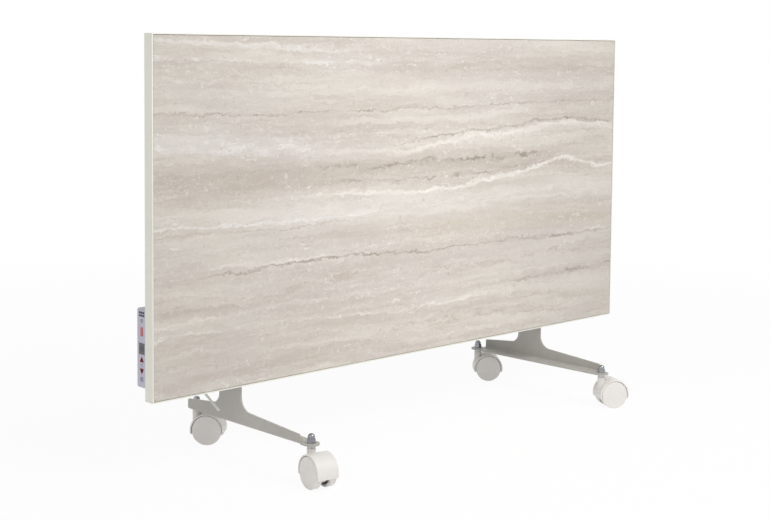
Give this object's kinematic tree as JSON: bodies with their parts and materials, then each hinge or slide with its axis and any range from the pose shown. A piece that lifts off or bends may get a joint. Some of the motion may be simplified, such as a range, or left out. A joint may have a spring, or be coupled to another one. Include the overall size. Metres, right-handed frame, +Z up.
{
  "type": "infrared panel heater",
  "caption": "Mobile infrared heater: a stone-look heating panel in a slim steel frame on two bent-sheet legs with swivelling castors, thermostat unit behind the left edge.",
  "frame": {"origin": "on the floor, below the middle of the tile's face", "axes": "+X along the panel to the viewer's right, -Y out of the tile's face, +Z up"},
  "size_m": [1.2, 0.4064, 0.7425],
  "materials": {
    "tile_face": "honed travertine look",
    "frame_paint": "pale grey powder coat",
    "leg_paint": "light grey powder coat",
    "zinc": "zinc plated",
    "bright_chrome": "bright",
    "white_plastic": "moulded",
    "unit_plastic": "fine textured",
    "overlay_film": "printed film",
    "display_glass": "dark tinted",
    "display_black": "plain",
    "key_dark": "soft key",
    "key_grey": "soft key",
    "pilot_red": "clear red lens",
    "circuit_green": "lacquered board",
    "block_black": "moulded",
    "grommet_rubber": "soft",
    "silicone": "cured bed",
    "carbon_film": "laminate",
    "copper": "bare strip",
    "insulation": "pressed mineral board",
    "steatite": "fired",
    "sensor_white": "sheathed"
  },
  "bodies": {
    "heater": {"stone_tile": "tile_face", "case_frame": "frame_paint", "rear_cover": "frame_paint", "tile_bed": "silicone", "heating_film": "carbon_film", "busbars": "copper", "insulation_board": "insulation", "support_rails": "zinc", "leg_nuts": "zinc", "rear_cover_screws": "zinc", "left_leg": "leg_paint", "right_leg": "leg_paint", "leg_washers": "zinc", "leg_screws": "zinc", "castor_stems": "zinc", "castor_washers": "zinc", "castor_cap_nuts": "bright_chrome", "control_base": "unit_plastic", "control_base_screws": "zinc", "control_housing": "unit_plastic", "housing_screws": "zinc", "face_overlay": "overlay_film", "display_window": "display_glass", "pilot_lamp": "pilot_red", "display_module": "display_black", "key_board": "circuit_green", "key_switches": "block_black", "power_board": "circuit_green", "relay": "block_black", "transformer": "block_black", "mains_inlet": "unit_plastic", "inlet_nut": "unit_plastic", "sensor_gland": "unit_plastic", "sensor_tube": "sensor_white", "sensor_tip": "sensor_white", "cable_grommet": "grommet_rubber", "terminal_block": "steatite", "thermal_cutout": "zinc", "inner_leads": "silicone"},
    "up_button": {"up_button": "key_dark"},
    "down_button": {"down_button": "key_dark"},
    "mode_button": {"mode_button": "key_grey"},
    "front_left_castor": {"front_left_hood": "white_plastic", "front_left_axle": "zinc"},
    "front_left_wheel_1": {"front_left_wheel_1": "white_plastic"},
    "front_left_wheel_2": {"front_left_wheel_2": "white_plastic"},
    "front_right_castor": {"front_right_hood": "white_plastic", "front_right_axle": "zinc"},
    "front_right_wheel_1": {"front_right_wheel_1": "white_plastic"},
    "front_right_wheel_2": {"front_right_wheel_2": "white_plastic"},
    "rear_left_castor": {"rear_left_hood": "white_plastic", "rear_left_axle": "zinc"},
    "rear_left_wheel_1": {"rear_left_wheel_1": "white_plastic"},
    "rear_left_wheel_2": {"rear_left_wheel_2": "white_plastic"},
    "rear_right_castor": {"rear_right_hood": "white_plastic", "rear_right_axle": "zinc"},
    "rear_right_wheel_1": {"rear_right_wheel_1": "white_plastic"},
    "rear_right_wheel_2": {"rear_right_wheel_2": "white_plastic"}
  },
  "joints": [
    {"name": "up_press", "type": "slide", "parent": "heater", "child": "up_button", "axis": [1, 0, 0], "range_m": [0, 0.0006], "stiffness_N_per_m": 300},
    {"name": "down_press", "type": "slide", "parent": "heater", "child": "down_button", "axis": [1, 0, 0], "range_m": [0, 0.0006], "stiffness_N_per_m": 300},
    {"name": "mode_press", "type": "slide", "parent": "heater", "child": "mode_button", "axis": [1, 0, 0], "range_m": [0, 0.0006], "stiffness_N_per_m": 300},
    {"name": "front_left_swivel", "type": "hinge", "parent": "heater", "child": "front_left_castor", "pos_m": [-0.386, -0.145, 0.062], "axis": [0, 0, 1], "continuous": true},
    {"name": "front_left_roll_1", "type": "hinge", "parent": "front_left_castor", "child": "front_left_wheel_1", "pos_m": [-0.38899, -0.16629, 0.027], "axis": [-0.9903, 0.1392, 0], "continuous": true},
    {"name": "front_left_roll_2", "type": "hinge", "parent": "front_left_castor", "child": "front_left_wheel_2", "pos_m": [-0.38899, -0.16629, 0.027], "axis": [-0.9903, 0.1392, 0], "continuous": true},
    {"name": "front_right_swivel", "type": "hinge", "parent": "heater", "child": "front_right_castor", "pos_m": [0.386, -0.145, 0.062], "axis": [0, 0, 1], "continuous": true},
    {"name": "front_right_roll_1", "type": "hinge", "parent": "front_right_castor", "child": "front_right_wheel_1", "pos_m": [0.40498, -0.15509, 0.027], "axis": [-0.4695, -0.8829, 0], "continuous": true},
    {"name": "front_right_roll_2", "type": "hinge", "parent": "front_right_castor", "child": "front_right_wheel_2", "pos_m": [0.40498, -0.15509, 0.027], "axis": [-0.4695, -0.8829, 0], "continuous": true},
    {"name": "rear_left_swivel", "type": "hinge", "parent": "heater", "child": "rear_left_castor", "pos_m": [-0.377, 0.186, 0.062], "axis": [0, 0, 1], "continuous": true},
    {"name": "rear_left_roll_1", "type": "hinge", "parent": "rear_left_castor", "child": "rear_left_wheel_1", "pos_m": [-0.36234, 0.17028, 0.027], "axis": [-0.7314, -0.682, 0], "continuous": true},
    {"name": "rear_left_roll_2", "type": "hinge", "parent": "rear_left_castor", "child": "rear_left_wheel_2", "pos_m": [-0.36234, 0.17028, 0.027], "axis": [-0.7314, -0.682, 0], "continuous": true},
    {"name": "rear_right_swivel", "type": "hinge", "parent": "heater", "child": "rear_right_castor", "pos_m": [0.377, 0.186, 0.062], "axis": [0, 0, 1], "continuous": true},
    {"name": "rear_right_roll_1", "type": "hinge", "parent": "rear_right_castor", "child": "rear_right_wheel_1", "pos_m": [0.39323, 0.17189, 0.027], "axis": [-0.6561, -0.7547, 0], "continuous": true},
    {"name": "rear_right_roll_2", "type": "hinge", "parent": "rear_right_castor", "child": "rear_right_wheel_2", "pos_m": [0.39323, 0.17189, 0.027], "axis": [-0.6561, -0.7547, 0], "continuous": true}
  ]
}
